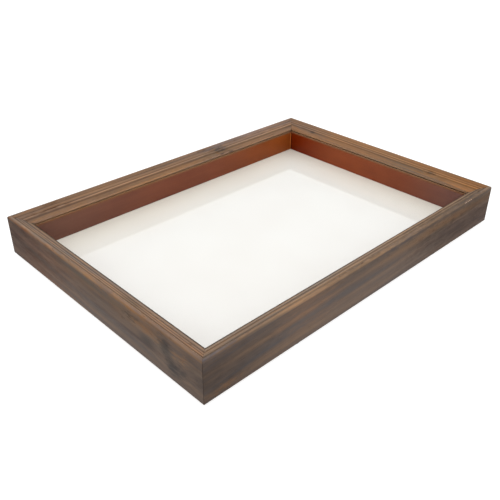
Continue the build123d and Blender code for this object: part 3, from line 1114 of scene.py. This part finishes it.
def bevel_where(piece, chosen, width, segments):
    """Round or slope the edges between the vertices whose place passes the test."""
    select_where(piece, chosen)
    bpy.ops.mesh.bevel(offset=width, segments=segments, profile=0.5, affect="EDGES")
    bpy.ops.object.mode_set(mode="OBJECT")


def combine(piece, other, operation):
    """Join or cut a piece with another solid, which is used up."""
    active(piece)
    change = piece.modifiers.new(operation.lower(), "BOOLEAN")
    change.operation = operation
    change.solver = "EXACT"
    change.object = other
    bpy.ops.object.modifier_apply(modifier=change.name)
    bpy.data.objects.remove(other)


def smooth(piece, below):
    """Shade smoothly across edges that are blunter than the angle in degrees."""
    active(piece)
    bpy.ops.object.shade_smooth_by_angle(angle=math.radians(below))


print("hardware helpers ready")

# %% [markdown]
# ## Turn buttons
# A turn button is stamped from sheet in one stroke: a round end with the screw hole, a
# narrower tongue, and a rib pressed along the tongue so that the thin sheet doesn't bend.
# We start from a low cylinder on the pivot, and pull its inner half out to the tongue. The
# rib is joined and the hole cut with booleans, and a bevel rolls the edge as a worn die
# does. Six buttons are alike, so one is made lying along X and each copy is turned to its
# own rail.

# %% One button
BUTTON_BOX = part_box("turn_button_left")
BUTTON_THICKNESS = BUTTON_BOX[1].z - BUTTON_BOX[0].z
BUTTON_RADIUS = (BUTTON_BOX[1].y - BUTTON_BOX[0].y) / 2
BUTTON_LENGTH = BUTTON_BOX[1].x - BUTTON_BOX[0].x
BUTTON_LEVEL = (BUTTON_BOX[0].z + BUTTON_BOX[1].z) / 2
TONGUE_RADIUS = 0.0034
TONGUE_REACH = BUTTON_LENGTH - BUTTON_RADIUS - TONGUE_RADIUS
TONGUE_TAPER = TONGUE_RADIUS / BUTTON_RADIUS
HOLE_RADIUS = 0.0015
RIB_LENGTH = 0.0100
RIB_WIDTH = 0.0026
RIB_HEIGHT = 0.0008
RIB_PLACE = 0.6 * TONGUE_REACH
EASED_BUTTON = 0.00012

button = cylinder(48, BUTTON_RADIUS, -BUTTON_THICKNESS / 2, BUTTON_THICKNESS / 2)
button.name = "turn_button_pattern"
select_where(button, lambda place: place.x > NEAR)
bpy.ops.transform.resize(value=(TONGUE_TAPER, TONGUE_TAPER, 1), center_override=(0, 0, 0))
bpy.ops.transform.translate(value=(TONGUE_REACH, 0, 0))
bpy.ops.object.mode_set(mode="OBJECT")

deselect()
bpy.ops.mesh.primitive_uv_sphere_add(
    segments=32, ring_count=16, radius=0.5, location=(RIB_PLACE, 0, -BUTTON_THICKNESS / 2)
)
rib = bpy.context.object
rib.scale = (RIB_LENGTH, RIB_WIDTH, 2 * RIB_HEIGHT)
settle(rib)
combine(button, rib, "UNION")
drill = cylinder(40, HOLE_RADIUS, -2 * BUTTON_THICKNESS, 2 * BUTTON_THICKNESS)
combine(button, drill, "DIFFERENCE")
ease_edges(button, EASED_BUTTON, sharper_than=50)
print("button faces:", len(button.data.polygons), "tongue reach:", round(1000 * TONGUE_REACH, 2))

# %% [markdown]
# ## Six buttons in place
# The joints already know where each pivot is. From there the tongue points into the case,
# across its own rail. Each copy has its own mesh, rides on its own body and stands for its
# own solid, so each one can be turned by itself.

# %% Place the buttons
pivots = {joint["child"]: joint["pos_m"] for joint in frame["joints"]}
INWARD_TURNS = {"left": 0, "front": 90, "right": 180, "rear": -90}


def copy_of(pattern, name):
    """A copy with a mesh of its own."""
    copy = pattern.copy()
    copy.data = pattern.data.copy()
    copy.name = name
    copy.data.name = name
    bpy.context.scene.collection.objects.link(copy)
    return copy


for body, (pivot_x, pivot_y, _) in pivots.items():
    side = body.split("_")[2]
    turned_button = copy_of(button, body + "_plate")
    turned_button.rotation_euler.z = math.radians(INWARD_TURNS[side])
    turned_button.location = (pivot_x, pivot_y, BUTTON_LEVEL)
    settle(turned_button)
    dress(turned_button, zinc, body, body)
bpy.data.objects.remove(button)
print("buttons:", sorted(pivots))

# %% [markdown]
# ## Screws
# Each button turns on a pan-head screw with a cross recess. The head is a low cylinder whose
# lower rim is rounded over, as a rolled head is. The recess is cut by two crossed bars that
# shrink with depth, so it gets shallower at its ends. The shank is out of sight in the
# wood, and only its plain form matters.

# %% One screw
SCREW_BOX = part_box("button_screws")
HEAD_FACE = SCREW_BOX[0].z
HEAD_RADIUS = 0.0028
HEAD_HEIGHT = 0.0012
HEAD_ROUND = 0.00055
HEAD_BACK = HEAD_FACE + HEAD_HEIGHT
SHANK_RADIUS = 0.00145
SHANK_OVERLAP = 0.0002
SHANK_TIP = SCREW_BOX[1].z
POINT_LENGTH = 0.0012
RECESS_LENGTH = 0.0034
RECESS_WIDTH = 0.00075
RECESS_DEPTH = 0.0009
RECESS_NARROWS = 0.45

screw = cylinder(40, HEAD_RADIUS, HEAD_FACE, HEAD_BACK)
screw.name = "screw_pattern"
bevel_where(screw, lambda place: place.z < HEAD_FACE + NEAR, HEAD_ROUND, 4)
shank = cylinder(32, SHANK_RADIUS, HEAD_BACK - SHANK_OVERLAP, SHANK_TIP)
bevel_where(shank, lambda place: place.z > SHANK_TIP - NEAR, POINT_LENGTH, 1)
combine(screw, shank, "UNION")

for turn in (0, 90):
    deselect()
    bpy.ops.mesh.primitive_cube_add(size=1, location=(0, 0, HEAD_FACE))
    bar = bpy.context.object
    bar.scale = (RECESS_LENGTH, RECESS_WIDTH, 2 * RECESS_DEPTH)
    bar.rotation_euler.z = math.radians(turn)
    settle(bar)
    select_where(bar, lambda place: place.z > HEAD_FACE)
    narrowed = (RECESS_NARROWS, RECESS_NARROWS, 1)
    bpy.ops.transform.resize(value=narrowed, center_override=(0, 0, HEAD_FACE))
    bpy.ops.object.mode_set(mode="OBJECT")
    combine(screw, bar, "DIFFERENCE")
smooth(screw, 35)
print("screw faces:", len(screw.data.polygons))

# %% [markdown]
# ## Six screws in place
# Nobody drives six screws to the same angle, so each copy is turned a little further than
# the last. They are one node in the solid model, so the copies are joined into one piece.

# %% Place the screws
SCREW_TURN_STEP = 37.0


def joined(copies, name):
    """Join copies into one piece, which keeps the name given."""
    deselect()
    for copy in copies:
        copy.select_set(True)
    bpy.context.view_layer.objects.active = copies[0]
    bpy.ops.object.join()
    copies[0].name = name
    copies[0].data.name = name
    return copies[0]


driven = []
for count, (pivot_x, pivot_y, _) in enumerate(pivots.values()):
    placed = copy_of(screw, "screw")
    placed.location = (pivot_x, pivot_y, 0)
    placed.rotation_euler.z = math.radians(count * SCREW_TURN_STEP)
    settle(placed)
    driven.append(placed)
bpy.data.objects.remove(screw)
screws = joined(driven, "pan_head_screws")
dress(screws, screw_zinc, "case", "button_screws")
print("screws:", len(driven), "faces:", len(screws.data.polygons))

# %% [markdown]
# ## Clear rubber
# The feet are cast from a clear soft plastic. It is never quite clear: a fine haze inside
# it makes the colour and the gloss drift a little. Transmission on the main shader gives
# that look, and a full glass shader would be too crisp for something so soft.

# %% Clear rubber
HAZE_SCALE = 700.0
HAZE_STOPS = [(0.3, (0.90, 0.92, 0.90)), (0.7, (0.96, 0.97, 0.95))]
RUBBER_CLARITY = 0.75
RUBBER_IOR = 1.47

clear_rubber, tree, shader = new_finish("clear_rubber")
where = put(tree, "TexCoord").outputs["Object"]
haze = noise(tree, where, scale=HAZE_SCALE, detail=3.0)
tree.links.new(ramp(tree, haze, HAZE_STOPS), shader.inputs["Base Color"])
tree.links.new(spread(tree, haze, 0.3, 0.7, 0.08, 0.20), shader.inputs["Roughness"])
shader.inputs["Transmission Weight"].default_value = RUBBER_CLARITY
shader.inputs["IOR"].default_value = RUBBER_IOR
print("rubber:", clear_rubber.name)

# %% [markdown]
# ## Bumpers
# Clear bumpers are cast, so they have no sharp edge at all: a straight skirt with a slight
# taper, a round shoulder and a shallow dimple in the face that stands on the table. A
# profile spun round the axis would do, but a cylinder with two insets and a bevel gets
# there with fewer steps and no seam to merge.

# %% Bumpers
BUMPER_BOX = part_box("bumper_front_left")
BUMPER_RADIUS = (BUMPER_BOX[1].x - BUMPER_BOX[0].x) / 2
BUMPER_HEIGHT = BUMPER_BOX[1].z - BUMPER_BOX[0].z
BUMPER_TAPER = 0.86
SHOULDER_ROUND = 0.0009
DIMPLE_INSET = 0.0012
DIMPLE_DEPTH = 0.0002

bumper = cylinder(40, BUMPER_RADIUS, 0, BUMPER_HEIGHT)
select_where(bumper, lambda place: place.z < NEAR)
bpy.ops.transform.resize(value=(BUMPER_TAPER, BUMPER_TAPER, 1), center_override=(0, 0, 0))
bpy.ops.mesh.bevel(offset=SHOULDER_ROUND, segments=5, profile=0.5, affect="EDGES")
bpy.ops.object.mode_set(mode="OBJECT")
select_where(bumper, lambda place: place.z < NEAR / 10)
bpy.ops.mesh.select_mode(type="FACE")
bpy.ops.mesh.inset(thickness=DIMPLE_INSET)
bpy.ops.transform.translate(value=(0, 0, DIMPLE_DEPTH))
bpy.ops.mesh.inset(thickness=DIMPLE_INSET / 2)
bpy.ops.transform.translate(value=(0, 0, DIMPLE_DEPTH / 2))
bpy.ops.object.mode_set(mode="OBJECT")
smooth(bumper, 40)

for name in solids:
    if name.startswith("bumper_"):
        low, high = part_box(name)
        foot = copy_of(bumper, name + "_cast")
        foot.location = ((low.x + high.x) / 2, (low.y + high.y) / 2, low.z)
        settle(foot)
        dress(foot, clear_rubber, "case", name)
bpy.data.objects.remove(bumper)
print("bumper:", round(2000 * BUMPER_RADIUS, 1), "mm across")

# %% [markdown]
# ## Hanger and V-nails
# The sawtooth hanger is a strip of brass-washed steel, cut and joggled in one go, with the
# edges slightly rolled. Its solid already has the teeth and the bends, so an eased copy is
# enough. The V-nails at the mitres only show as thin steel lines, so their solids just get
# the nails' steel.

# %% Hanger and V-nails
EASED_HANGER = 0.00006
hanger = working_copy("sawtooth_hanger", "hanger_strip")
ease_edges(hanger, EASED_HANGER)
dress(hanger, hanger_brass, "case", "sawtooth_hanger")
refinish("corner_v_nails", nail_steel)
print(hanger.name, "faces:", len(hanger.data.polygons))

# %% [markdown]
# ## Hanger nails
# Two small nails hold the hanger. Their heads are thin and domed: a low cylinder with a
# wide round on its rim gives the dome, as a sphere would be far too high. The shank is
# joined to the middle of the head, and one nail serves for both.

# %% Hanger nails
NAIL_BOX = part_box("hanger_nails")
NAIL_FACE = NAIL_BOX[0].z
NAIL_TIP = NAIL_BOX[1].z
NAIL_HEAD_RADIUS = (NAIL_BOX[1].y - NAIL_BOX[0].y) / 2
NAIL_HEAD_HEIGHT = 0.0005
NAIL_HEAD_ROUND = 0.8 * NAIL_HEAD_HEIGHT
NAIL_SHANK_RADIUS = 0.00075
NAIL_LINE = (NAIL_BOX[0].y + NAIL_BOX[1].y) / 2

nail = cylinder(32, NAIL_HEAD_RADIUS, NAIL_FACE, NAIL_FACE + NAIL_HEAD_HEIGHT)
bevel_where(nail, lambda place: place.z < NAIL_FACE + NEAR, NAIL_HEAD_ROUND, 3)
nail_shank = cylinder(24, NAIL_SHANK_RADIUS, NAIL_FACE + NAIL_HEAD_HEIGHT / 2, NAIL_TIP)
combine(nail, nail_shank, "UNION")
smooth(nail, 35)

nail_pair = []
for across in (NAIL_BOX[0].x + NAIL_HEAD_RADIUS, NAIL_BOX[1].x - NAIL_HEAD_RADIUS):
    driven_nail = copy_of(nail, "nail")
    driven_nail.location = (across, NAIL_LINE, 0)
    settle(driven_nail)
    nail_pair.append(driven_nail)
bpy.data.objects.remove(nail)
nails = joined(nail_pair, "domed_nails")
dress(nails, nail_steel, "case", "hanger_nails")
print("nails:", len(nail_pair), "faces:", len(nails.data.polygons))
